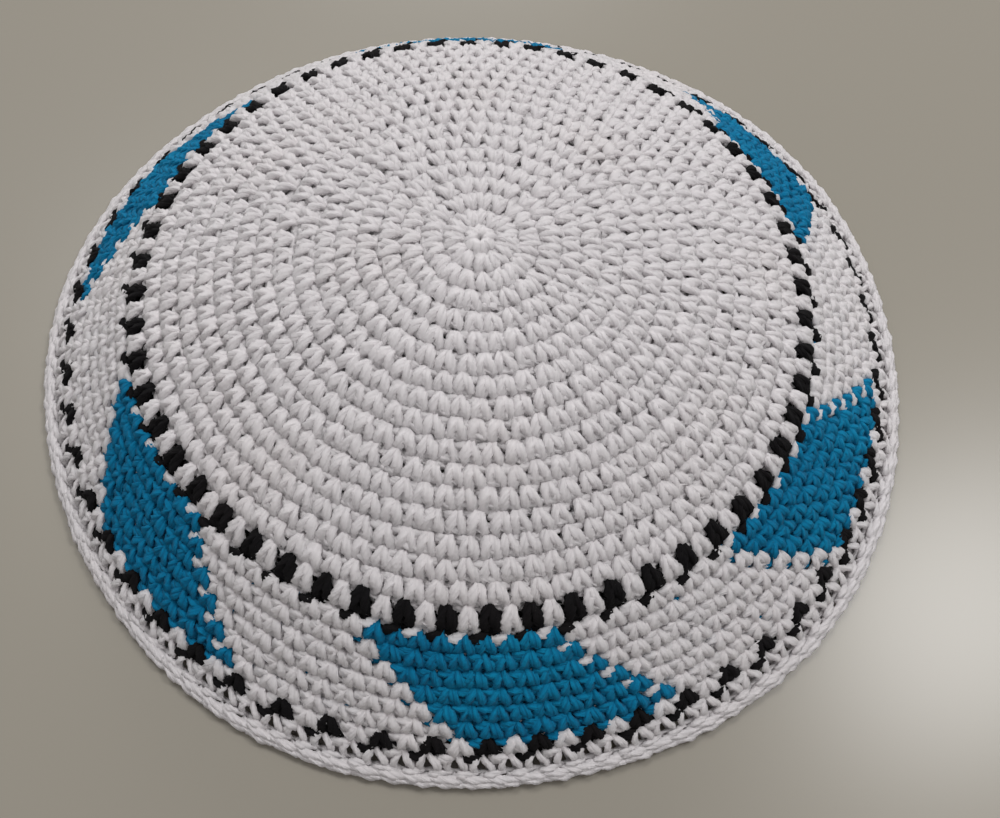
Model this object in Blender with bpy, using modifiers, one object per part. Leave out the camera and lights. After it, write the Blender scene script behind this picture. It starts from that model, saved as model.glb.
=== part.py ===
"""A crocheted skullcap: a low round dome worked in rounds from its middle outwards.

Crown, contrast rounds, patterned band and edging are pieces of their own, each a ribbed
knitted-thickness wall with one rib for each crocheted round. Lengths are in metres, the
cap opens downwards, and its rolled edge rests on the plane z = 0. A position on the cap
is given by its distance along the outer surface from the middle of the crown, and by its
angle about the vertical axis, anticlockwise from +X as seen from above.
"""

import math

import bmesh
import bpy

# Sizes of the whole cap.
RIM_RADIUS = 0.0794
CAP_HEIGHT = 0.03565
CROWN_RADIUS = 0.0586
CROWN_EDGE_HEIGHT = 0.01936

# The fabric: its thickness at a rib, the depth of the groove between two rounds, and the
# gap left between two neighbouring pieces.
WALL = 0.0023
GROOVE_DEPTH = 0.0005
PIECE_GAP = 0.0003

# The zones of the work from its middle outwards. Each row gives how many rounds a zone
# has, and its width along the surface as a share of the way from the middle to the rim.
# The rolled cord takes up what is left.
ZONE_COLUMNS = ("rounds", "share")
ZONES = {
    "crown": (17, 0.657),
    "inner_contrast": (1, 0.050),
    "band": (6, 0.196),
    "outer_contrast": (1, 0.033),
    "edge_round": (1, 0.036),
}

# The rolled cord that ends the work, and the flat strip under it that the cap rests on.
CORD_RADIUS = 0.00125
CORD_ANGLES = (105.0, 65.0, 25.0, -15.0)
FOOT_START = 0.6
FOOT_WIDTH = 0.0016

# The stitches of a round in the band, and the angle of the first one in degrees. Each
# motif starts one stitch further on in every round, and each round of stitches leans
# back a little, as right-handed work does.
ROUND_STITCHES = 112
FIRST_STITCH_ANGLE = 207.5
STITCHES_ON = 1.0
STITCHES_BACK = 0.2
STITCH_ANGLE = 360.0 / ROUND_STITCHES

# The motifs of the band. A field of the other colour fills the way to the next one.
MOTIF_COLUMNS = ("first_stitch", "stitches")
MOTIFS = ((17, 9), (35, 9), (54, 9), (73, 9), (92, 9), (111, 9))

# How finely the shapes are turned.
ROUND_STEPS = 60
PANEL_STEPS = 5

# The rim isn't a true circle. Each row is one wave of its outline: how many times it
# swells in a turn, how far as a share of the radius, and the angle of its first crest.
OUTLINE_COLUMNS = ("swells", "share", "crest_angle")
OUTLINE_WAVES = (
    (2, 0.0104, 22.3),
    (3, 0.0081, 49.1),
    (4, 0.0041, -33.8),
    (5, 0.0034, -35.8),
)

# The crown sits a little to one side of the middle of the rim.
CROWN_SHIFT = (-0.0019, 0.0009)

# Colour, roughness and metallic share of each yarn.
YARN_COLUMNS = ("colour", "roughness", "metallic")
YARNS = {
    "white_cotton": ((0.62, 0.59, 0.60), 0.85, 0.0),
    "teal_cotton": ((0.012, 0.21, 0.36), 0.85, 0.0),
    "black_cotton": ((0.012, 0.012, 0.014), 0.85, 0.0),
}

# The crown's outer surface is part of a sphere, and the band is part of a cone.
CROWN_RISE = CAP_HEIGHT - CROWN_EDGE_HEIGHT
SPHERE_RADIUS = (CROWN_RADIUS**2 + CROWN_RISE**2) / (2 * CROWN_RISE)
CROWN_LENGTH = SPHERE_RADIUS * math.asin(CROWN_RADIUS / SPHERE_RADIUS)
CONE_WIDTH = RIM_RADIUS - CROWN_RADIUS
BAND_SLOPE = math.atan2(CROWN_EDGE_HEIGHT, CONE_WIDTH)
SURFACE_LENGTH = CROWN_LENGTH + math.hypot(CONE_WIDTH, CROWN_EDGE_HEIGHT)


def clear_scene():
    for old in list(bpy.data.objects):
        bpy.data.objects.remove(old)


def new_collection(name):
    collection = bpy.data.collections.new(name)
    bpy.context.scene.collection.children.link(collection)
    return collection


def yarn_material(name):
    row = dict(zip(YARN_COLUMNS, YARNS[name]))
    material = bpy.data.materials.new(name)
    material.use_nodes = True
    shader = material.node_tree.nodes["Principled BSDF"]
    shader.inputs["Base Color"].default_value = (*row["colour"], 1.0)
    shader.inputs["Roughness"].default_value = row["roughness"]
    shader.inputs["Metallic"].default_value = row["metallic"]
    return material


def zone(name):
    return dict(zip(ZONE_COLUMNS, ZONES[name]))


def zone_ends(name):
    """Where a zone starts and ends, as distances along the surface from the middle."""
    names = list(ZONES)
    before = names[: names.index(name)]
    start = sum(zone(other)["share"] for other in before) * SURFACE_LENGTH
    return start, start + zone(name)["share"] * SURFACE_LENGTH


def surface_at(distance, depth=0.0):
    """Radius and height of the point this far along the surface and this deep under it."""
    if distance <= CROWN_LENGTH:
        slope = distance / SPHERE_RADIUS
        radius = SPHERE_RADIUS * math.sin(slope)
        height = CAP_HEIGHT - SPHERE_RADIUS * (1 - math.cos(slope))
    else:
        slope = BAND_SLOPE
        past = distance - CROWN_LENGTH
        radius = CROWN_RADIUS + past * math.cos(slope)
        height = CROWN_EDGE_HEIGHT - past * math.sin(slope)
    return radius - depth * math.sin(slope), height - depth * math.cos(slope)


def ribbed_line(start, end, rounds):
    """The outer line of a piece: a groove at each end of a round, and its crest between."""
    points = []
    width = (end - start) / rounds
    for index in range(rounds):
        points.append(surface_at(start + index * width, GROOVE_DEPTH))
        points.append(surface_at(start + (index + 0.5) * width))
    points.append(surface_at(end, GROOVE_DEPTH))
    return points


def inner_line(start, end, stretches):
    """The inner line of a piece, from its end back to its start."""
    width = (end - start) / stretches
    return [surface_at(end - index * width, WALL) for index in range(stretches + 1)]


def outline_share(angle):
    """How far the rim lies from the middle at this angle, as a share of its radius."""
    share = 1.0
    for values in OUTLINE_WAVES:
        row = dict(zip(OUTLINE_COLUMNS, values))
        turn = row["swells"] * (angle - math.radians(row["crest_angle"]))
        share += row["share"] * math.cos(turn)
    return share


def shaped_point(x, y):
    """Where a point of the true round cap lies once the cap has its own outline."""
    radius = math.hypot(x, y)
    outwards = (radius / RIM_RADIUS) ** 2
    share = 1.0 + (outline_share(math.atan2(y, x)) - 1.0) * outwards
    band_share = (RIM_RADIUS - radius) / (RIM_RADIUS - CROWN_RADIUS)
    shift = min(1.0, max(0.0, band_share))
    return x * share + CROWN_SHIFT[0] * shift, y * share + CROWN_SHIFT[1] * shift


def outline_middle():
    """The middle of the box round the rim's outline, which becomes the origin."""
    turns = [math.tau * index / ROUND_STEPS for index in range(ROUND_STEPS)]
    rim = [
        shaped_point(RIM_RADIUS * math.cos(turn), RIM_RADIUS * math.sin(turn))
        for turn in turns
    ]
    across = [x for x, _ in rim]
    along = [y for _, y in rim]
    return (min(across) + max(across)) / 2, (min(along) + max(along)) / 2


def turned_mesh(name, profile, degrees, steps, closed):
    """A profile of radii and heights turned about the vertical axis."""
    edges = [(index, index + 1) for index in range(len(profile) - 1)]
    if closed:
        edges.append((len(profile) - 1, 0))
    flat = bpy.data.meshes.new(name + "_profile")
    flat.from_pydata([(radius, 0.0, height) for radius, height in profile], edges, [])
    turned = bpy.data.objects.new(name + "_turned", flat)
    bpy.context.scene.collection.objects.link(turned)
    screw = turned.modifiers.new("turn", "SCREW")
    screw.angle = math.radians(degrees)
    screw.steps = steps
    screw.render_steps = steps
    screw.use_merge_vertices = True
    screw.merge_threshold = 0.00001
    graph = bpy.context.evaluated_depsgraph_get()
    mesh = bpy.data.meshes.new_from_object(turned.evaluated_get(graph))
    bpy.data.objects.remove(turned)
    return mesh


def finish_piece(name, mesh, material, collection):
    """Gives a turned mesh the cap's own outline, closes it, and adds it as an object."""
    middle_x, middle_y = outline_middle()
    for vertex in mesh.vertices:
        x, y = shaped_point(vertex.co.x, vertex.co.y)
        vertex.co.x = x - middle_x
        vertex.co.y = y - middle_y
    work = bmesh.new()
    work.from_mesh(mesh)
    bmesh.ops.holes_fill(work, edges=work.edges)
    bmesh.ops.triangulate(work, faces=work.faces)
    bmesh.ops.recalc_face_normals(work, faces=work.faces)
    work.to_mesh(mesh)
    work.free()
    mesh.materials.clear()
    mesh.materials.append(material)
    mesh.name = name
    piece = bpy.data.objects.new(name, mesh)
    collection.objects.link(piece)
    return piece


def make_crown(material, collection):
    rounds = zone("crown")["rounds"]
    end = zone_ends("crown")[1] - PIECE_GAP / 2
    outer = [surface_at(0.0)] + ribbed_line(0.0, end, rounds)[1:]
    inner = inner_line(0.0, end, rounds // 2)
    mesh = turned_mesh("crown", outer + inner, 360.0, ROUND_STEPS, closed=False)
    finish_piece("crown", mesh, material, collection)


def make_contrast_round(name, zone_name, material, collection):
    start, end = zone_ends(zone_name)
    start += PIECE_GAP / 2
    end -= PIECE_GAP / 2
    profile = ribbed_line(start, end, 1) + inner_line(start, end, 1)
    mesh = turned_mesh(name, profile, 360.0, ROUND_STEPS, closed=True)
    finish_piece(name, mesh, material, collection)


def make_panel(name, first_stitch, stitches, material, collection):
    """One panel of the band, whose two sides slant together."""
    rounds = zone("band")["rounds"]
    start, end = zone_ends("band")
    start += PIECE_GAP / 2
    end -= PIECE_GAP / 2
    profile = ribbed_line(start, end, rounds) + inner_line(start, end, rounds)
    gap_angle = math.degrees(PIECE_GAP / CROWN_RADIUS)
    degrees = stitches * STITCH_ANGLE - gap_angle
    mesh = turned_mesh(name, profile, degrees, PANEL_STEPS, closed=True)
    side_stitch = first_stitch - 0.5 - STITCHES_BACK
    first_angle = FIRST_STITCH_ANGLE + side_stitch * STITCH_ANGLE + gap_angle / 2
    slant = rounds * (STITCHES_ON - STITCHES_BACK) * STITCH_ANGLE
    top = surface_at(start)[1]
    fall = top - surface_at(end)[1]
    for vertex in mesh.vertices:
        angle = math.atan2(vertex.co.y, vertex.co.x)
        radius = math.hypot(vertex.co.x, vertex.co.y)
        down = (top - vertex.co.z) / fall
        angle += math.radians(first_angle + slant * down)
        vertex.co.x = radius * math.cos(angle)
        vertex.co.y = radius * math.sin(angle)
    finish_piece(name, mesh, material, collection)


def make_band(white, teal, collection):
    motifs = [dict(zip(MOTIF_COLUMNS, values)) for values in MOTIFS]
    for index, motif in enumerate(motifs):
        first = motif["first_stitch"]
        wide = motif["stitches"]
        following = motifs[(index + 1) % len(motifs)]["first_stitch"]
        field = (following - first - wide) % ROUND_STITCHES
        make_panel(f"teal_motif_{index + 1}", first, wide, teal, collection)
        make_panel(f"white_field_{index + 1}", first + wide, field, white, collection)


def make_edging(material, collection):
    """The last white round and the rolled cord below it, flat where it rests."""
    start, end = zone_ends("edge_round")
    start += PIECE_GAP / 2
    cord_middle = RIM_RADIUS - CORD_RADIUS
    cord = [
        (
            cord_middle + CORD_RADIUS * math.cos(math.radians(angle)),
            CORD_RADIUS * (1.0 + math.sin(math.radians(angle))),
        )
        for angle in CORD_ANGLES
    ]
    foot = [(cord_middle + CORD_RADIUS * FOOT_START, 0.0)]
    foot.append((foot[0][0] - FOOT_WIDTH, 0.0))
    outer = ribbed_line(start, end, 1)
    inner = [surface_at(end - CORD_RADIUS / 2, WALL), surface_at(start, WALL)]
    profile = outer + cord + foot + inner
    mesh = turned_mesh("edging", profile, 360.0, ROUND_STEPS, closed=True)
    finish_piece("edging", mesh, material, collection)


def make_cap():
    clear_scene()
    cap = new_collection("crocheted_skullcap")
    white = yarn_material("white_cotton")
    teal = yarn_material("teal_cotton")
    black = yarn_material("black_cotton")
    make_crown(white, cap)
    make_contrast_round("inner_contrast_round", "inner_contrast", black, cap)
    make_band(white, teal, cap)
    make_contrast_round("outer_contrast_round", "outer_contrast", black, cap)
    make_edging(white, cap)


make_cap()
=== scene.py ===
"""A crocheted skullcap lying on a pale table, with every stitch as its own loop of yarn.

The cap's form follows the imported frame: a shallow dome, worked in rounds from its middle
outwards. One path of yarn for a single crochet stitch is bent along that form, stitch by
stitch and round by round. Lengths are in metres where nothing else is said. A place on the
cap is given by its distance along the outer surface from the middle, and by its angle about
the vertical axis, anticlockwise as seen from above, which is also the way the work runs.
"""

import math

import bpy
import numpy as np
from mathutils import Matrix, Vector

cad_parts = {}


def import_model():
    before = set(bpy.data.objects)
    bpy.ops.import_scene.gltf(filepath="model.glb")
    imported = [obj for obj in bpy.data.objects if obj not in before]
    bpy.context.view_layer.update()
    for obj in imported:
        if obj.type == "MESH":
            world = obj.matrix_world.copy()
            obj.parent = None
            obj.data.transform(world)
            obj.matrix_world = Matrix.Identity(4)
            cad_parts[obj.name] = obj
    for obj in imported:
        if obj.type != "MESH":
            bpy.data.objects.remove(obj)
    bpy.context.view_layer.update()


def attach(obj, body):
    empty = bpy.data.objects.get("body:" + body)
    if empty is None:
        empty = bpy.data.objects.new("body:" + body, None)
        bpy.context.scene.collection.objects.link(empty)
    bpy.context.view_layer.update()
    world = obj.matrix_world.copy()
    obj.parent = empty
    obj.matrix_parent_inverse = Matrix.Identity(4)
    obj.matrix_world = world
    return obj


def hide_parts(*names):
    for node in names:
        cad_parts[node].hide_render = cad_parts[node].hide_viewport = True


SEED = 18
MILLIMETRES = 1000.0

# The form of the cap, as in the frame. The crown's edge lies a little beside the rim's middle.
RIM_RADIUS = 0.0794
CAP_HEIGHT = 0.03565
CROWN_RADIUS = 0.0586
CROWN_EDGE_HEIGHT = 0.01936
CROWN_SHIFT = (-0.0019, 0.0009)
SPHERE_RADIUS = (CROWN_RADIUS**2 + (CAP_HEIGHT - CROWN_EDGE_HEIGHT) ** 2) / (
    2 * (CAP_HEIGHT - CROWN_EDGE_HEIGHT)
)
CROWN_LENGTH = SPHERE_RADIUS * math.asin(CROWN_RADIUS / SPHERE_RADIUS)
CONE_WIDTH = RIM_RADIUS - CROWN_RADIUS
BAND_SLOPE = math.atan2(CROWN_EDGE_HEIGHT, CONE_WIDTH)
SURFACE_LENGTH = CROWN_LENGTH + math.hypot(CONE_WIDTH, CROWN_EDGE_HEIGHT)

# The slow waves of the rim: the number of swells, their height as a share of the radius,
# and the angle of a crest in degrees.
OUTLINE_WAVES = (
    (2, 0.0104, 22.3),
    (3, 0.0081, 49.1),
    (4, 0.0041, -33.8),
    (5, 0.0034, -35.8),
)
OUTLINE_POINTS = 60

# The zones of the work: the number of rounds, and the width as a share of the surface length.
ZONES = {
    "crown": (17, 0.657),
    "inner_contrast": (1, 0.050),
    "band": (6, 0.196),
    "outer_contrast": (1, 0.033),
    "edge_round": (1, 0.036),
    "cord": (1, 0.028),
}

# The stitches of a round in the band, the angle of the first one in degrees, and how far
# each round lies back from the one before, as a share of a stitch.
ROUND_STITCHES = 112
FIRST_STITCH_ANGLE = 207.5
LEAN_BACK = 0.2

# The stitches that each round of the crown adds, the round that starts its outer part, and
# how far each round lies back from the one before, as a share of a stitch.
STITCHES_MORE = ROUND_STITCHES / (ZONES["crown"][0] + 1)
CROWN_SPLIT = 12
ROUND_DRIFT = 0.55

# The chart of the band: the first stitch and the width of each teal motif, in stitches. A
# motif moves on by one stitch a round. In the two-coloured rounds every second stitch is
# black, from the one given here on.
MOTIFS = ((17, 9), (35, 9), (54, 9), (73, 9), (92, 9), (111, 9))
FIRST_BLACK = {"inner_contrast": 0, "outer_contrast": 1}

# How deep the middle of the fabric lies under the cap's outer surface, how high it stays
# above the table at the edge, and how softly it levels out there.
FABRIC_DEPTH = 0.00135
EDGE_REST_HEIGHT = 0.00135
EDGE_REST_SOFTNESS = 0.0012

# How far the line of the fabric's middle runs on at both ends, and the points along it.
LINE_BEFORE = 0.004
LINE_BEYOND = 0.006
LINE_POINTS = 600

# The path of the yarn through one stitch. Along and out are shares of the stitch's width
# and of the round's. Rise is the height above the middle of the fabric and thick the
# yarn's radius, both in millimetres: every path below has rows of these four. It starts
# with the loop on top that runs forward from the stitch before, goes down behind, through
# the hole in the round below, up and down in front, and up behind again.
STITCH_PATH = (
    (-0.80, 1.03, -0.08, 0.66),
    (-0.66, 1.01, 0.46, 0.84),
    (-0.44, 0.95, 0.62, 0.93),
    (-0.20, 0.87, 0.28, 0.82),
    (0.02, 0.84, -0.40, 0.60),
    (-0.10, 0.98, -0.78, 0.55),
    (-0.46, 0.96, -0.84, 0.58),
    (-0.40, 0.50, -0.84, 0.62),
    (-0.10, 0.02, -0.70, 0.62),
    (0.02, -0.24, -0.20, 0.60),
    (-0.02, -0.15, 0.36, 0.70),
    (-0.08, 0.04, 0.72, 0.84),
    (-0.14, 0.28, 0.80, 0.92),
    (-0.17, 0.52, 0.52, 0.90),
    (-0.16, 0.70, 0.05, 0.78),
    (-0.06, 0.83, -0.25, 0.68),
    (0.16, 0.86, -0.38, 0.66),
    (0.38, 0.83, -0.24, 0.68),
    (0.46, 0.71, 0.08, 0.78),
    (0.42, 0.52, 0.52, 0.90),
    (0.31, 0.27, 0.82, 0.92),
    (0.20, 0.04, 0.74, 0.86),
    (0.12, -0.15, 0.38, 0.70),
    (0.09, -0.24, -0.20, 0.60),
    (0.16, 0.02, -0.70, 0.62),
    (0.28, 0.50, -0.84, 0.62),
    (0.34, 0.90, -0.66, 0.60),
    (0.26, 1.06, -0.10, 0.64),
)
STITCH_RINGS = 29

# The middle of the V that the two legs of a stitch make, in stitches.
V_MIDDLE = 0.06

# The strand inside each stitch, which the legs go round, and the one under its top, which
# closes the gap to the next round.
INNER_PATH = (
    (-0.60, 0.52, 0.02, 0.92),
    (-0.24, 0.50, 0.16, 0.98),
    (0.10, 0.46, 0.28, 0.98),
    (0.66, 0.52, 0.02, 0.92),
)
UNDER_PATH = (
    (-0.60, 0.94, -0.42, 0.70),
    (-0.05, 0.92, -0.30, 0.78),
    (0.64, 0.94, -0.42, 0.70),
)
INNER_RINGS = 4

# The two strands of the chain that lies along the edge, one stitch of each.
CORD_FRONT_PATH = (
    (-1.02, 1.06, -0.20, 0.48),
    (-0.82, 1.18, 0.20, 0.62),
    (-0.45, 1.28, 0.34, 0.71),
    (-0.05, 1.31, 0.28, 0.72),
    (0.30, 1.26, 0.08, 0.66),
    (0.55, 1.16, -0.22, 0.52),
)
CORD_BACK_PATH = (
    (-0.95, 1.32, -0.55, 0.50),
    (-0.65, 1.48, -0.24, 0.64),
    (-0.25, 1.56, -0.14, 0.71),
    (0.15, 1.56, -0.20, 0.71),
    (0.45, 1.48, -0.36, 0.63),
    (0.70, 1.36, -0.60, 0.50),
)
CORD_RINGS = 12

# The yarn of the other colour, carried inside the stitches.
CARRIED_PATH = (
    (-0.52, 0.02, -0.22, 0.45),
    (-0.25, 0.05, -0.12, 0.50),
    (0.05, 0.00, -0.24, 0.50),
    (0.30, 0.04, -0.10, 0.50),
    (0.52, 0.02, -0.22, 0.45),
)
CARRIED_RINGS = 8

# The curve through a path: its steps between two rows, the usual width of a stitch and of a
# round in millimetres beside the rise's own, and the rise under which the yarn is hidden
# and has this share of the rings.
CURVE_STEPS = 12
TYPICAL_STITCH = np.array([3.4, 3.3, 1.0])
HIDDEN_RISE = -0.3
HIDDEN_SHARE = 0.5

# The foot of a stitch in the crown leans towards the hole that it comes from: the share of
# the way, and the furthest that it can reach, in stitches.
FOOT_LEAN = 0.3
FOOT_REACH = 0.45

# The parts of a path that something moves, each from where it begins to where it is full:
# the foot, the low front of the legs, and the loop on top.
FOOT_OUT = (0.8, 0.0)
LOW_FRONT_OUT = (0.1, -0.15)
LOW_FRONT_RISE = (-0.5, -0.1)
TOP_LOOP_OUT = (0.80, 0.87)
TOP_LOOP_ALONG = (0.0, -0.15)
TOP_LOOP_RISE = (-0.3, 0.0)

# How much the stitches differ from one another: the stitch and its legs along the round, in
# stitches, the stitch outwards, in rounds, the stitch and its front in height, in
# millimetres, the yarn's thickness, and how unlike the two legs are. The crown, the
# carried yarn and the cord have all of this by their own factors.
SWAYS = np.array([0.05, 0.07, 0.045, 0.06, 0.09, 0.05, 0.08])
CROWN_LOOSE = 1.15
CARRIED_LOOSE = 2.0
CORD_LOOSE = 0.6

# The edge round is looser: its legs are thinner and stand further apart.
EDGE_SPREAD = 1.32
EDGE_THICK = 0.72

# How far the foot of a stitch in the two-coloured rounds stands out, in millimetres.
APEX_LIFT = 0.34

# How far the loops on top lie deeper, in millimetres: those of the crown, those of its last
# round, and those of the first stitch of a motif.
CROWN_SUNK = 0.42
LAST_ROUND_SUNK = 0.85
MOTIF_EDGE_SUNK = 0.9

# The hole in the middle of the crown, and how much it crowds the stitches round it.
MIDDLE_HOLE = 0.0010
MIDDLE_CROWDING = 0.3

# How far the rounds stray from true circles, and the waves in which they do: the weight of
# each, how many there are in a turn, and its turn in radians for a metre outwards.
ROUND_WOBBLE = 0.00022
WOBBLE_WAVES = ((1.0, 3, 90.0), (0.7, 5, -160.0))

# The yarn: the sides of its tube, how flat it is pressed, how uneven its surface is, and
# the length over which its fibres start at random.
YARN_SIDES = 6
YARN_SQUASH = 0.76
YARN_ROUGHNESS = 0.06
YARN_LENGTH = 0.3

# The corners of the two quads that close each end of a tube with six sides.
START_QUADS = ((3, 2, 1, 0), (5, 4, 3, 0))
END_QUADS = ((0, 1, 2, 3), (0, 3, 4, 5))

# Straight up, and a nudge that keeps the side of an upright path from being undefined.
UPWARDS = np.array([0.0, 0.0, 1.0])
SIDE_NUDGE = np.array([1e-6, 0.0, 0.0])

# The plies of the yarn, how far they stand out as a share of its radius, and their twist.
PLIES = 3
PLY_DEPTH = 0.12
TWIST_PER_METRE = 115.0

# The yarns: the colour, the painted shade that darkens the grooves between the plies and
# the low parts of the streaks, the tint of the patches, how fuzzy the yarn looks, how much
# light passes through it, and how strong its relief is.
YARNS = {
    "white": {
        "colour": (0.972, 0.942, 0.955),
        "painted_shade": (0.90, 0.868, 0.882),
        "tint": (0.968, 0.93, 0.935),
        "sheen": 0.8,
        "seen_through": 0.40,
        "bumpiness": 0.45,
    },
    "teal": {
        "colour": (0.002, 0.225, 0.44),
        "painted_shade": (0.001, 0.125, 0.27),
        "tint": (0.003, 0.27, 0.49),
        "sheen": 0.03,
        "seen_through": 0.2,
        "bumpiness": 0.7,
    },
    "black": {
        "colour": (0.006, 0.005, 0.006),
        "painted_shade": (0.003, 0.003, 0.003),
        "tint": (0.009, 0.007, 0.008),
        "sheen": 0.01,
        "seen_through": 0.02,
        "bumpiness": 0.8,
    },
}
COTTON_ROUGHNESS = 0.95
COTTON_SPECULAR = 0.15
SHEEN_ROUGHNESS = 0.6

# The noises of the yarn, each with its scale and detail. The streaks are drawn out along
# the yarn, whose length counts as this share of its millimetres, and lie round it in a
# circle of this radius.
STREAK_NOISE = (1.0, 3.0)
FLUFF_NOISE = (1500.0, 4.0)
PATCH_NOISE = (45.0, 3.0)
STREAK_STRETCH = 0.5
FIBRES_ROUND = 3.0

# The relief of the yarn: the weights of its plies and streaks beside its fluff, and its depth.
PLY_RELIEF = 1.5
STREAK_RELIEF = 1.6
RELIEF_DEPTH = 0.0003

# Where the tint and the painted shade set in and where they are full, and how strong the
# painted shade is.
PATCH_RANGE = (0.5, 0.75)
GROOVE_RANGE = (0.55, 0.0, 0.6)
STREAK_RANGE = (0.62, 0.30, 0.5)

# The nodes of the frame that each zone and colour of stitches stands for, and the colour
# of the yarn that is carried inside them.
MOTIF_NODES = [f"teal_motif_{index + 1}" for index in range(len(MOTIFS))]
FIELD_NODES = [f"white_field_{index + 1}" for index in range(len(MOTIFS))]
STITCH_NODES = {
    ("inner_contrast", "white"): ["inner_contrast_round"],
    ("inner_contrast", "black"): ["inner_contrast_round"],
    ("band", "white"): FIELD_NODES,
    ("band", "teal"): MOTIF_NODES,
    ("outer_contrast", "white"): ["outer_contrast_round"],
    ("outer_contrast", "black"): ["outer_contrast_round"],
    ("edge_round", "white"): ["edging"],
}
CARRIED_COLOURS = {
    ("inner_contrast", "white"): "black",
    ("band", "white"): "teal",
    ("band", "teal"): "white",
    ("outer_contrast", "white"): "black",
    ("outer_contrast", "black"): "white",
}

# The table top and the room's own light.
TABLE_HALF_SIDE = 1.5
TABLE_COLOUR = (0.272, 0.250, 0.208, 1.0)
TABLE_ROUGHNESS = 0.27
ROOM_COLOUR = (1.0, 0.98, 0.97, 1.0)
ROOM_STRENGTH = 0.46

# The lamps, which all point at the middle of the cap: place, size and power in watts.
LAMPS = (
    ("ceiling_back", (-0.15, 1.45, 0.62), 0.5, 7.0),
    ("ceiling_right", (0.582, 0.285, 1.026), 0.30, 4.2),
    ("ceiling_top", (-0.27, 0.53, 1.14), 0.4, 4.9),
)

# Where the camera of the photo stood, in rim radii of the photo's own fit, whose rim is
# this many metres and whose middle lies beside the cap's. Angles are in degrees, and the
# sensor's width is in millimetres.
PHOTO_UNIT = 0.080
PHOTO_MIDDLE = (0.0029, -0.0103)
CAMERA_DISTANCE = 2.379
CAMERA_AIM = (0.0575, -0.1549)
CAMERA_ELEVATION = 64.21
CAMERA_ROLL = 6.77
CAMERA_FOCAL_PIXELS = 1037.7
PHOTO_WIDTH_PIXELS = 1000
SENSOR_WIDTH = 36.0
CAMERA_NEAR = 0.01


def zone_start(name):
    """The distance at which a zone begins."""
    names = list(ZONES)
    before = names[: names.index(name)]
    return sum(ZONES[other][1] for other in before) * SURFACE_LENGTH


def zone_round_width(name):
    """The width of one round of a zone."""
    rounds, share = ZONES[name]
    return share * SURFACE_LENGTH / rounds


def outline_share(angle):
    """How far the rim lies from the middle at this angle, as a share of its radius."""
    share = np.ones_like(angle)
    for swells, height, crest_angle in OUTLINE_WAVES:
        share += height * np.cos(swells * (angle - math.radians(crest_angle)))
    return share


def shaped(x, y):
    """Where a point of the true round cap lies once the cap has its own outline."""
    radius = np.hypot(x, y)
    outwards = (radius / RIM_RADIUS) ** 2
    share = 1.0 + (outline_share(np.arctan2(y, x)) - 1.0) * outwards
    shift = np.clip((RIM_RADIUS - radius) / CONE_WIDTH, 0.0, 1.0)
    return x * share + CROWN_SHIFT[0] * shift, y * share + CROWN_SHIFT[1] * shift


def outline_middle():
    """The middle of the box round the rim."""
    turns = np.linspace(0.0, math.tau, OUTLINE_POINTS, endpoint=False)
    x, y = shaped(RIM_RADIUS * np.cos(turns), RIM_RADIUS * np.sin(turns))
    return (x.min() + x.max()) / 2, (y.min() + y.max()) / 2


def middle_line():
    """Radius, height and slope of the middle of the fabric, along the surface."""
    distance = np.linspace(-LINE_BEFORE, SURFACE_LENGTH + LINE_BEYOND, LINE_POINTS)
    slope = np.where(distance <= CROWN_LENGTH, distance / SPHERE_RADIUS, BAND_SLOPE)
    past = np.maximum(distance - CROWN_LENGTH, 0.0)
    arc = np.minimum(distance, CROWN_LENGTH) / SPHERE_RADIUS
    radius = SPHERE_RADIUS * np.sin(arc) + past * math.cos(BAND_SLOPE)
    height = CAP_HEIGHT - SPHERE_RADIUS * (1 - np.cos(arc)) - past * math.sin(BAND_SLOPE)
    radius = radius - FABRIC_DEPTH * np.sin(slope)
    height = height - FABRIC_DEPTH * np.cos(slope)
    above = height - EDGE_REST_HEIGHT
    height = EDGE_REST_HEIGHT + 0.5 * (above + np.sqrt(above**2 + EDGE_REST_SOFTNESS**2))
    slope = np.arctan2(-np.gradient(height), np.gradient(radius))
    return distance, radius, height, slope


LINE_DISTANCE, LINE_RADIUS, LINE_HEIGHT, LINE_SLOPE = middle_line()
MIDDLE_X, MIDDLE_Y = outline_middle()


def cap_points(distance, angle, rise):
    """Points on the cap, from distance, angle and rise above the middle of the fabric."""
    radius = np.interp(distance, LINE_DISTANCE, LINE_RADIUS)
    height = np.interp(distance, LINE_DISTANCE, LINE_HEIGHT)
    slope = np.interp(distance, LINE_DISTANCE, LINE_SLOPE)
    radius = radius + rise * np.sin(slope)
    height = height + rise * np.cos(slope)
    x, y = shaped(radius * np.cos(angle), radius * np.sin(angle))
    return np.stack([x - MIDDLE_X, y - MIDDLE_Y, height], -1)


def outward(distance, angle):
    """The direction square to the cap's surface."""
    slope = np.interp(distance, LINE_DISTANCE, LINE_SLOPE)
    return np.stack(
        [np.sin(slope) * np.cos(angle), np.sin(slope) * np.sin(angle), np.cos(slope)], -1
    )


def wobble(distance, angle):
    """How far the rounds stray from true circles."""
    slow = sum(
        weight * np.sin(count * angle + turn * distance) for weight, count, turn in WOBBLE_WAVES
    )
    return ROUND_WOBBLE * slow * np.clip(distance / CROWN_RADIUS, 0.0, 1.0)


def ramp(value, start, full):
    """Nothing up to the start, one from full on, and even in between."""
    return np.clip((value - start) / (full - start), 0.0, 1.0)


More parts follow.
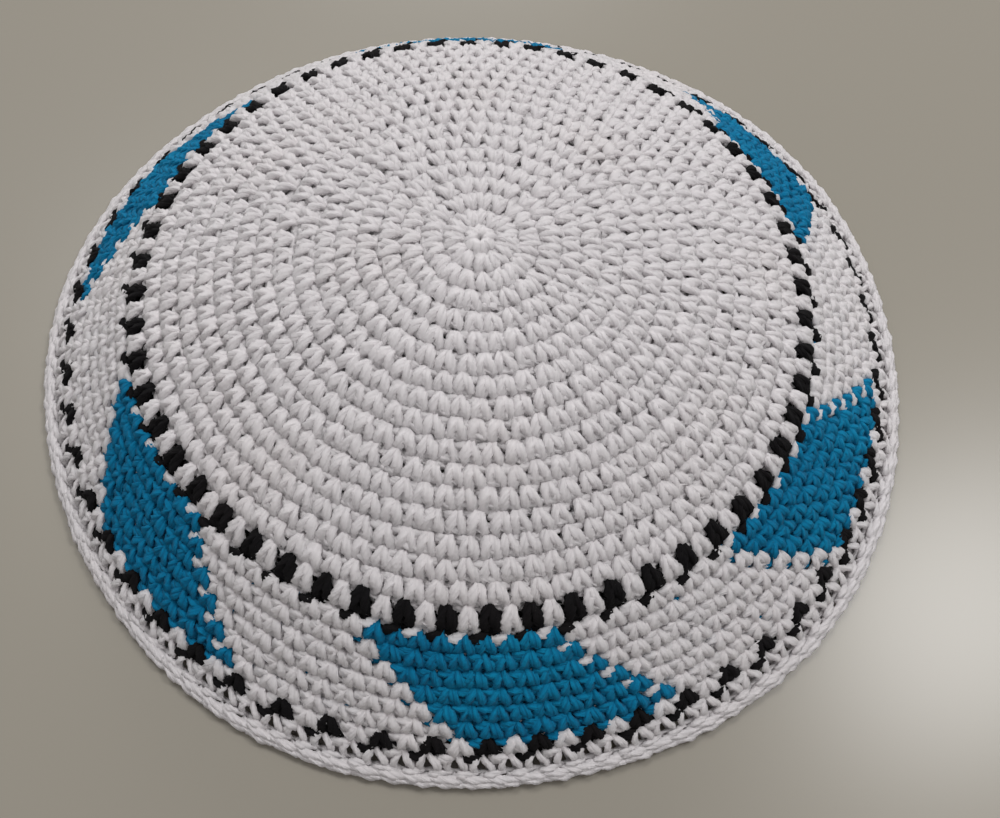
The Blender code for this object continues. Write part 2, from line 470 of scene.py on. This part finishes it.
def smooth_path(points, rings):
    """A smooth curve through the points, with rings along it, fewer where it is hidden."""
    points = np.array(points, float)
    padded = np.vstack([2 * points[0] - points[1], points, 2 * points[-1] - points[-2]])
    share = np.linspace(0.0, 1.0, CURVE_STEPS, endpoint=False)[:, None]
    pieces = []
    for a, b, c, d in zip(padded, padded[1:], padded[2:], padded[3:]):
        bend = 2 * a - 5 * b + 4 * c - d
        swing = 3 * b - a - 3 * c + d
        pieces.append(0.5 * (2 * b + (c - a) * share + bend * share**2 + swing * share**3))
    dense = np.vstack(pieces + [points[-1:]])
    lengths = np.linalg.norm(np.diff(dense[:, :3] * TYPICAL_STITCH, axis=0), axis=1)
    lengths = lengths * np.where(dense[1:, 2] < HIDDEN_RISE, HIDDEN_SHARE, 1.0)
    steps = np.r_[0.0, np.cumsum(lengths)]
    wanted = np.linspace(0.0, steps[-1], rings)
    return np.stack([np.interp(wanted, steps, column) for column in dense.T], -1)


def side_vectors(along):
    """A direction square to each path that turns as little as it can along the path."""
    lead = np.empty_like(along)
    start = np.cross(along[:, 0], UPWARDS) + SIDE_NUDGE
    lead[:, 0] = start / np.linalg.norm(start, axis=1, keepdims=True)
    for index in range(1, along.shape[1]):
        here = along[:, index]
        carried = lead[:, index - 1]
        carried = carried - (carried * here).sum(1, keepdims=True) * here
        lead[:, index] = carried / np.linalg.norm(carried, axis=1, keepdims=True)
    return lead


def plied_rings(centres, rises, radii, length, random):
    """The points of each ring: three plies that twist along the yarn, pressed a little flat."""
    along = np.gradient(centres, axis=1)
    along /= np.linalg.norm(along, axis=2, keepdims=True)
    lead = side_vectors(along)
    other = np.cross(along, lead)
    place = np.linspace(0.0, math.tau, YARN_SIDES, endpoint=False)
    twist = length * TWIST_PER_METRE + random.uniform(0.0, 1.0, (len(centres), 1))
    turn = (place + math.tau * twist[:, :, None])[..., None]
    ring = lead[:, :, None] * np.cos(turn) + other[:, :, None] * np.sin(turn)
    plied = 1.0 + PLY_DEPTH * np.cos(PLIES * place)
    ring = ring * radii[:, :, None, None] * plied[:, None]
    ring = ring * random.normal(1.0, YARN_ROUGHNESS, (*length.shape, YARN_SIDES, 1))
    up = rises[:, :, None]
    lifted = (ring * up).sum(-1, keepdims=True)
    ring = ring - (1.0 - YARN_SQUASH) * lifted * up
    return (centres[:, :, None] + ring).reshape(-1, 3)


def yarn_places(length):
    """Where the corners of the walls lie on the yarn: millimetres along and share round."""
    paths, rings = length.shape
    shape = (paths, rings - 1, YARN_SIDES)
    low = np.broadcast_to(length[:, :-1, None], shape)
    high = np.broadcast_to(length[:, 1:, None], shape)
    left = np.broadcast_to(np.arange(YARN_SIDES) / YARN_SIDES, shape)
    right = left + 1.0 / YARN_SIDES
    corners = ((low, left), (low, right), (high, right), (high, left))
    places = np.stack([np.stack(corner, -1) for corner in corners], -2).reshape(-1, 2)
    places[:, 0] *= MILLIMETRES
    return places


def tubes(centres, rises, radii, random):
    """Closed tube meshes round many paths at once.

    centres is paths x rings x 3, rises the outward direction of the cap at each ring,
    and radii the yarn's radius at each ring. Returns vertices, quads and yarn places.
    """
    paths, rings = centres.shape[:2]
    step = np.linalg.norm(np.diff(centres, axis=1), axis=2)
    length = np.concatenate([np.zeros((paths, 1)), np.cumsum(step, axis=1)], axis=1)
    vertices = plied_rings(centres, rises, radii, length, random)
    index = np.arange(paths * rings * YARN_SIDES).reshape(paths, rings, YARN_SIDES)
    after = np.roll(index, -1, axis=2)
    walls = np.stack([index[:, :-1], after[:, :-1], after[:, 1:], index[:, 1:]], -1)
    ends = [index[:, 0][:, corners] for corners in START_QUADS]
    ends += [index[:, -1][:, corners] for corners in END_QUADS]
    quads = np.vstack([walls.reshape(-1, 4), *ends])
    places = yarn_places(length + random.uniform(0.0, YARN_LENGTH, (paths, 1)))
    end_places = np.zeros((4 * sum(len(end) for end in ends), 2))
    return vertices, quads, np.vstack([places, end_places])


def yarn_tubes(
    path, rings, lot, random, loose=1.0, spread=1.0, girth=1.0, apex=0.0, sunk=0.0
):
    """Yarn along the same path in every stitch of a lot, each a little different.

    loose is how much the stitches differ, spread how far the legs stand apart, girth how
    thick the yarn is, and apex and sunk how far the low front and the top loop are moved.
    """
    start, width, angles, stitch, feet = lot
    along, out, rise, thick = smooth_path(path, rings).T
    sways = random.normal(0.0, loose, (len(angles), len(SWAYS))) * SWAYS
    shift, splay, reach, lift, puff, heft, unlike = sways.T[:, :, None]
    inside = np.sin(np.linspace(0.0, math.pi, rings)) ** 0.5
    front = np.clip(rise, 0.0, 1.0)
    foot = ramp(out, *FOOT_OUT)
    low_front = ramp(out, *LOW_FRONT_OUT) * ramp(rise, *LOW_FRONT_RISE)
    top_loop = ramp(out, *TOP_LOOP_OUT) * ramp(along, *TOP_LOOP_ALONG)
    top_loop = top_loop * ramp(rise, *TOP_LOOP_RISE)
    side = np.sign(along - V_MIDDLE)

    here_along = along + (along - V_MIDDLE) * (spread - 1.0) * front + feet[:, None] * foot
    here_along = here_along + shift * inside + splay * front * out
    here_out = out + reach * inside
    here_rise = rise + (lift + puff * front) * inside
    here_rise = here_rise + apex * low_front - sunk * top_loop
    here_thick = thick * girth * (1.0 + heft + unlike * side * front)

    angle = angles[:, None] + here_along * stitch
    distance = start + here_out * width
    distance = np.maximum(distance, MIDDLE_HOLE + MIDDLE_CROWDING * distance)
    distance = distance + wobble(distance, angle)
    centres = cap_points(distance, angle, here_rise / MILLIMETRES)
    return tubes(centres, outward(distance, angle), here_thick / MILLIMETRES, random)


def inner_tubes(lot, random):
    """The two strands inside each stitch of a lot."""
    return [yarn_tubes(path, INNER_RINGS, lot, random) for path in (INNER_PATH, UNDER_PATH)]


def mesh_piece(name, parts, material, nodes):
    """One object from several lots of tubes, riding on the cap and replacing its nodes."""
    vertices = np.vstack([part[0] for part in parts])
    offsets = np.cumsum([0] + [len(part[0]) for part in parts[:-1]])
    quads = np.vstack([part[1] + offset for part, offset in zip(parts, offsets)])
    places = np.vstack([part[2] for part in parts])
    mesh = bpy.data.meshes.new(name)
    mesh.vertices.add(len(vertices))
    mesh.vertices.foreach_set("co", vertices.astype(np.float32).ravel())
    mesh.loops.add(quads.size)
    mesh.loops.foreach_set("vertex_index", quads.astype(np.int32).ravel())
    mesh.polygons.add(len(quads))
    mesh.polygons.foreach_set("loop_start", np.arange(0, quads.size, 4, dtype=np.int32))
    mesh.polygons.foreach_set("use_smooth", np.ones(len(quads), dtype=bool))
    layer = mesh.uv_layers.new(name="yarn")
    layer.uv.foreach_set("vector", places.astype(np.float32).ravel())
    mesh.update()
    mesh.validate()
    mesh.materials.append(material)
    piece = bpy.data.objects.new(name, mesh)
    bpy.context.scene.collection.objects.link(piece)
    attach(piece, "root")
    if nodes:
        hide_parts(*nodes)


def node_maths(tree, operation, first, second=0.0):
    """A maths node of the tree, with numbers or sockets as its two inputs."""
    node = tree.nodes.new("ShaderNodeMath")
    node.operation = operation
    for socket, value in zip(node.inputs, (first, second)):
        if isinstance(value, float):
            socket.default_value = value
        else:
            tree.links.new(value, socket)
    return node.outputs[0]


def node_range(tree, value, start, full, result=1.0):
    """Zero up to the start, the result from full on, and even in between."""
    node = tree.nodes.new("ShaderNodeMapRange")
    node.inputs["From Min"].default_value = start
    node.inputs["From Max"].default_value = full
    node.inputs["To Max"].default_value = result
    tree.links.new(value, node.inputs["Value"])
    return node.outputs["Result"]


def node_colours(tree, share, first, second):
    """A mix of two colours, the first a colour or a socket."""
    node = tree.nodes.new("ShaderNodeMix")
    node.data_type = "RGBA"
    tree.links.new(share, node.inputs["Factor"])
    if isinstance(first, tuple):
        node.inputs["A"].default_value = (*first, 1.0)
    else:
        tree.links.new(first, node.inputs["A"])
    node.inputs["B"].default_value = (*second, 1.0)
    return node.outputs["Result"]


def node_noise(tree, scale, detail, vector=None):
    """A noise over the vector given, or over the piece's own space."""
    if vector is None:
        vector = tree.nodes.new("ShaderNodeTexCoord").outputs["Object"]
    noise = tree.nodes.new("ShaderNodeTexNoise")
    noise.inputs["Scale"].default_value = scale
    noise.inputs["Detail"].default_value = detail
    tree.links.new(vector, noise.inputs["Vector"])
    return noise.outputs["Fac"]


def fibre_places(tree, along, angle):
    """The space of the streaks: drawn out along the yarn and closed in a circle round it."""
    space = tree.nodes.new("ShaderNodeCombineXYZ")
    across = node_maths(tree, "MULTIPLY", node_maths(tree, "COSINE", angle), FIBRES_ROUND)
    beyond = node_maths(tree, "MULTIPLY", node_maths(tree, "SINE", angle), FIBRES_ROUND)
    tree.links.new(node_maths(tree, "MULTIPLY", along, STREAK_STRETCH), space.inputs["X"])
    tree.links.new(across, space.inputs["Y"])
    tree.links.new(beyond, space.inputs["Z"])
    return space.outputs[0]


def cotton(name, colour, painted_shade, tint, sheen, seen_through, bumpiness):
    """Spun cotton yarn: twisted plies, fine fibres, patches of colour and painted shade in
    grooves.
    """
    material = bpy.data.materials.new(name)
    material.use_nodes = True
    tree = material.node_tree
    shader = tree.nodes["Principled BSDF"]
    shader.inputs["Roughness"].default_value = COTTON_ROUGHNESS
    shader.inputs["Specular IOR Level"].default_value = COTTON_SPECULAR
    shader.inputs["Sheen Weight"].default_value = sheen
    shader.inputs["Sheen Roughness"].default_value = SHEEN_ROUGHNESS

    place = tree.nodes.new("ShaderNodeUVMap")
    place.uv_map = "yarn"
    parts = tree.nodes.new("ShaderNodeSeparateXYZ")
    tree.links.new(place.outputs["UV"], parts.inputs[0])
    angle = node_maths(tree, "MULTIPLY", parts.outputs["Y"], math.tau)
    plies = node_maths(tree, "MULTIPLY", angle, PLIES / 2)
    ply = node_maths(tree, "ABSOLUTE", node_maths(tree, "COSINE", plies))
    streak = node_noise(tree, *STREAK_NOISE, fibre_places(tree, parts.outputs["X"], angle))
    fluff = node_noise(tree, *FLUFF_NOISE)
    patch = node_noise(tree, *PATCH_NOISE)

    relief = node_maths(tree, "MULTIPLY", ply, PLY_RELIEF)
    streaks = node_maths(tree, "MULTIPLY", streak, STREAK_RELIEF)
    relief = node_maths(tree, "ADD", relief, streaks)
    relief = node_maths(tree, "ADD", relief, fluff)
    bump = tree.nodes.new("ShaderNodeBump")
    bump.inputs["Strength"].default_value = bumpiness
    bump.inputs["Distance"].default_value = RELIEF_DEPTH
    tree.links.new(relief, bump.inputs["Height"])
    tree.links.new(bump.outputs["Normal"], shader.inputs["Normal"])

    final = node_colours(tree, node_range(tree, patch, *PATCH_RANGE), colour, tint)
    # Painted shade: the colour is darkened in the grooves between the plies and in the low
    # parts of the streaks, where the relief dips.
    final = node_colours(tree, node_range(tree, ply, *GROOVE_RANGE), final, painted_shade)
    final = node_colours(tree, node_range(tree, streak, *STREAK_RANGE), final, painted_shade)
    tree.links.new(final, shader.inputs["Base Color"])

    through = tree.nodes.new("ShaderNodeBsdfTranslucent")
    tree.links.new(final, through.inputs["Color"])
    tree.links.new(bump.outputs["Normal"], through.inputs["Normal"])
    both = tree.nodes.new("ShaderNodeMixShader")
    both.inputs["Fac"].default_value = seen_through
    tree.links.new(shader.outputs[0], both.inputs[1])
    tree.links.new(through.outputs[0], both.inputs[2])
    tree.links.new(both.outputs[0], tree.nodes["Material Output"].inputs["Surface"])
    return material


def crown_lots():
    """The crown's rounds: where each starts, its width, and its stitches' places."""
    width = zone_round_width("crown")
    lots = []
    before_count = 0
    before_phase = math.radians(FIRST_STITCH_ANGLE)
    for index in range(ZONES["crown"][0]):
        count = int(round(STITCHES_MORE * (index + 1)))
        stitch = math.tau / count
        phase = before_phase - ROUND_DRIFT * stitch
        angles = phase + stitch * np.arange(count)
        feet = np.zeros(count)
        if before_count:
            hole = np.floor(np.arange(count) * before_count / count)
            holes = before_phase + (hole - LEAN_BACK) * math.tau / before_count
            feet = np.clip((holes - angles) / stitch, -FOOT_REACH, FOOT_REACH) * FOOT_LEAN
        lots.append((index * width, width, angles, stitch, feet))
        before_count = count
        before_phase = phase
    return lots


def stitch_kinds(zone, row):
    """The colour of each stitch in a round, row 0 being the inner two-coloured round."""
    kinds = np.full(ROUND_STITCHES, "white")
    if zone in FIRST_BLACK:
        kinds[FIRST_BLACK[zone] :: 2] = "black"
    elif zone == "band":
        for first, wide in MOTIFS:
            kinds[(first + row - 1 + np.arange(wide)) % ROUND_STITCHES] = "teal"
    return kinds


def band_lots():
    """The rounds from the inner two-coloured round to the edge, and the colours of each."""
    stitch = math.tau / ROUND_STITCHES
    numbers = np.arange(ROUND_STITCHES)
    feet = np.zeros(ROUND_STITCHES)
    zones = ["inner_contrast"] + ["band"] * ZONES["band"][0] + ["outer_contrast", "edge_round"]
    lots = []
    start = zone_start("inner_contrast")
    for row, zone in enumerate(zones):
        width = zone_round_width(zone)
        angles = math.radians(FIRST_STITCH_ANGLE) + (numbers - LEAN_BACK * row) * stitch
        lots.append((zone, (start, width, angles, stitch, feet), stitch_kinds(zone, row)))
        start += width
    return lots


def picked_lot(lot, picked):
    """The same round with only some of its stitches."""
    start, width, angles, stitch, feet = lot
    return start, width, angles[picked], stitch, feet[picked]


def stitch_options(zone, kind, kinds, picked):
    """What is special about the stitches of one colour in a round of the zone."""
    if zone == "edge_round":
        return {"spread": EDGE_SPREAD, "girth": EDGE_THICK}
    if zone in FIRST_BLACK:
        return {"apex": APEX_LIFT}
    first = (np.roll(kinds, 1) != kinds)[picked] & (kind == "teal")
    return {"sunk": np.where(first, MOTIF_EDGE_SUNK, 0.0)[:, None]}


def make_crown(white, random):
    """The plain rounds in two pieces, and the strands inside their stitches in a third."""
    lots = crown_lots()
    sunk = [CROWN_SUNK] * (len(lots) - 1) + [LAST_ROUND_SUNK]
    rounds = [
        yarn_tubes(STITCH_PATH, STITCH_RINGS, lot, random, CROWN_LOOSE, sunk=depth)
        for lot, depth in zip(lots, sunk)
    ]
    inner = [part for lot in lots for part in inner_tubes(lot, random)]
    for name, parts in (
        ("crown_inner_rounds", rounds[:CROWN_SPLIT]),
        ("crown_outer_rounds", rounds[CROWN_SPLIT:]),
        ("crown_inner_strands", inner),
    ):
        mesh_piece(name, parts, white, ["crown"])


def make_band(yarns, random):
    """The patterned rounds, each colour of each zone as one piece, and the carried yarns."""
    found = {place: [] for place in STITCH_NODES}
    carried = {kind: [] for kind in yarns}
    for zone, lot, kinds in band_lots():
        for kind in yarns:
            picked = kinds == kind
            if not picked.any():
                continue
            part = picked_lot(lot, picked)
            options = stitch_options(zone, kind, kinds, picked)
            found[zone, kind].append(
                yarn_tubes(STITCH_PATH, STITCH_RINGS, part, random, **options)
            )
            if zone != "edge_round":
                found[zone, kind] += inner_tubes(part, random)
            if (zone, kind) in CARRIED_COLOURS:
                carried[CARRIED_COLOURS[zone, kind]].append(
                    yarn_tubes(CARRIED_PATH, CARRIED_RINGS, part, random, CARRIED_LOOSE)
                )
    for (zone, kind), parts in found.items():
        nodes = STITCH_NODES[zone, kind]
        mesh_piece(f"{zone}_{kind}_stitches", parts, yarns[kind], nodes)
    for kind, parts in carried.items():
        mesh_piece(f"carried_{kind}_yarn", parts, yarns[kind], ())


def make_cord(white, random):
    """The chain that lies along the edge, as its two strands."""
    edge_lot = band_lots()[-1][1]
    strands = [
        yarn_tubes(path, CORD_RINGS, edge_lot, random, CORD_LOOSE)
        for path in (CORD_FRONT_PATH, CORD_BACK_PATH)
    ]
    mesh_piece("edge_cord", strands, white, ["edging"])


def make_floor():
    """The plain table top under the cap."""
    side = TABLE_HALF_SIDE
    mesh = bpy.data.meshes.new("table_top")
    corners = [(-side, -side, 0), (side, -side, 0), (side, side, 0), (-side, side, 0)]
    mesh.from_pydata(corners, [], [(0, 1, 2, 3)])
    material = bpy.data.materials.new("table_top")
    material.use_nodes = True
    shader = material.node_tree.nodes["Principled BSDF"]
    shader.inputs["Base Color"].default_value = TABLE_COLOUR
    shader.inputs["Roughness"].default_value = TABLE_ROUGHNESS
    mesh.materials.append(material)
    floor = bpy.data.objects.new("table_top", mesh)
    bpy.context.scene.collection.objects.link(floor)


def make_lights():
    """The even light of the room and the lamps at the ceiling."""
    world = bpy.data.worlds.new("room")
    bpy.context.scene.world = world
    world.use_nodes = True
    background = world.node_tree.nodes["Background"]
    background.inputs["Color"].default_value = ROOM_COLOUR
    background.inputs["Strength"].default_value = ROOM_STRENGTH
    for name, place, size, power in LAMPS:
        light = bpy.data.lights.new(name, "AREA")
        light.size = size
        light.energy = power
        lamp = bpy.data.objects.new(name, light)
        bpy.context.scene.collection.objects.link(lamp)
        lamp.location = place
        lamp.rotation_euler = (-Vector(place)).to_track_quat("-Z", "Y").to_euler()


def make_camera():
    """The camera at the photo's place and angle."""
    elevation = math.radians(CAMERA_ELEVATION)
    roll = math.radians(CAMERA_ROLL)
    aim = np.array([*CAMERA_AIM, 0.0])
    back = np.array([0.0, -math.cos(elevation), math.sin(elevation)])
    level = np.array([1.0, 0.0, 0.0])
    upright = np.cross(back, level)
    right = math.cos(roll) * level + math.sin(roll) * upright
    up = -math.sin(roll) * level + math.cos(roll) * upright
    place = (aim + back * CAMERA_DISTANCE - np.array([*PHOTO_MIDDLE, 0.0])) * PHOTO_UNIT
    place -= np.array([MIDDLE_X, MIDDLE_Y, 0.0])
    camera_data = bpy.data.cameras.new("photo_camera")
    camera_data.sensor_width = SENSOR_WIDTH
    camera_data.lens = CAMERA_FOCAL_PIXELS / PHOTO_WIDTH_PIXELS * SENSOR_WIDTH
    camera_data.clip_start = CAMERA_NEAR
    camera = bpy.data.objects.new("photo_camera", camera_data)
    bpy.context.scene.collection.objects.link(camera)
    turned = np.eye(4)
    turned[:3, 0] = right
    turned[:3, 1] = up
    turned[:3, 2] = back
    turned[:3, 3] = place
    camera.matrix_world = Matrix(turned.tolist())
    bpy.context.scene.camera = camera


def make_scene():
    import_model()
    bpy.context.scene.view_settings.view_transform = "Standard"
    make_camera()
    make_floor()
    make_lights()
    yarns = {kind: cotton(f"{kind}_yarn", **look) for kind, look in YARNS.items()}
    random = np.random.default_rng(SEED)
    make_crown(yarns["white"], random)
    make_band(yarns, random)
    make_cord(yarns["white"], random)


make_scene()
